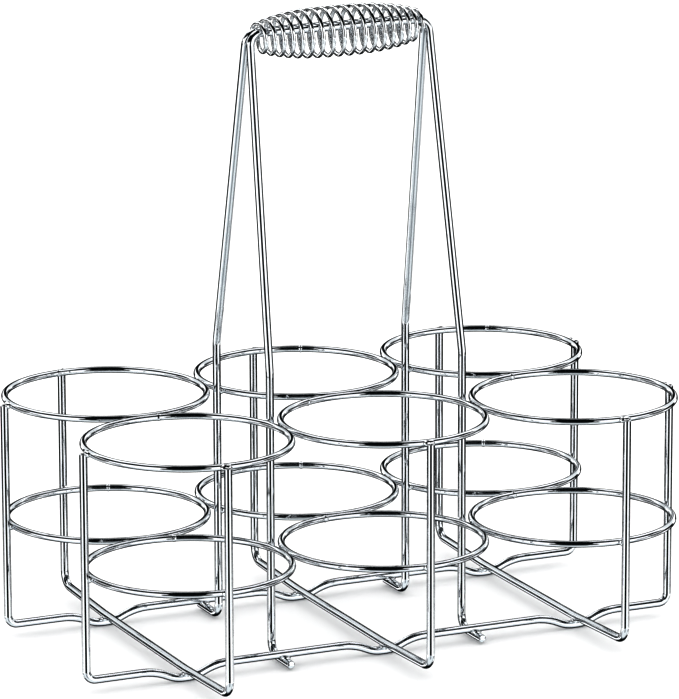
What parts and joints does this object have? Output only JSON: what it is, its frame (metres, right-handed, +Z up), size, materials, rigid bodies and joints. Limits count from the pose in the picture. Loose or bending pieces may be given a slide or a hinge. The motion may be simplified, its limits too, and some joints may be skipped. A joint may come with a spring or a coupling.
{
  "type": "bottle caddy",
  "caption": "Free-standing chrome wire bottle caddy with double-ring bottle places on U-bent base wires and a tall central carrying handle with a loose, barrel-shaped coil grip.",
  "frame": {"origin": "on the standing plane, below the middle of the caddy", "axes": "+X along the rows of three bottles, +Y to the back row, +Z up"},
  "size_m": [0.303, 0.2046, 0.3001],
  "materials": {
    "frame_wire": "bright chrome plate",
    "ring_wire": "bright chrome plate",
    "coil_wire": "bright chrome plate"
  },
  "bodies": {
    "caddy": {"front_row_wire": "frame_wire", "back_row_wire": "frame_wire", "cross_wire_left": "frame_wire", "cross_wire_middle": "frame_wire", "cross_wire_right": "frame_wire", "upper_ring_front_left": "ring_wire", "upper_ring_front_middle": "ring_wire", "upper_ring_front_right": "ring_wire", "upper_ring_back_left": "ring_wire", "upper_ring_back_middle": "ring_wire", "upper_ring_back_right": "ring_wire", "lower_ring_front_left": "ring_wire", "lower_ring_front_middle": "ring_wire", "lower_ring_front_right": "ring_wire", "lower_ring_back_left": "ring_wire", "lower_ring_back_middle": "ring_wire", "lower_ring_back_right": "ring_wire", "handle_wire_front": "frame_wire", "handle_wire_back": "frame_wire"},
    "grip": {"grip_coil": "coil_wire"}
  },
  "joints": [
    {"name": "grip_spin", "type": "hinge", "parent": "caddy", "child": "grip", "pos_m": [0, 0, 0.2879], "axis": [1, 0, 0], "continuous": true}
  ]
}
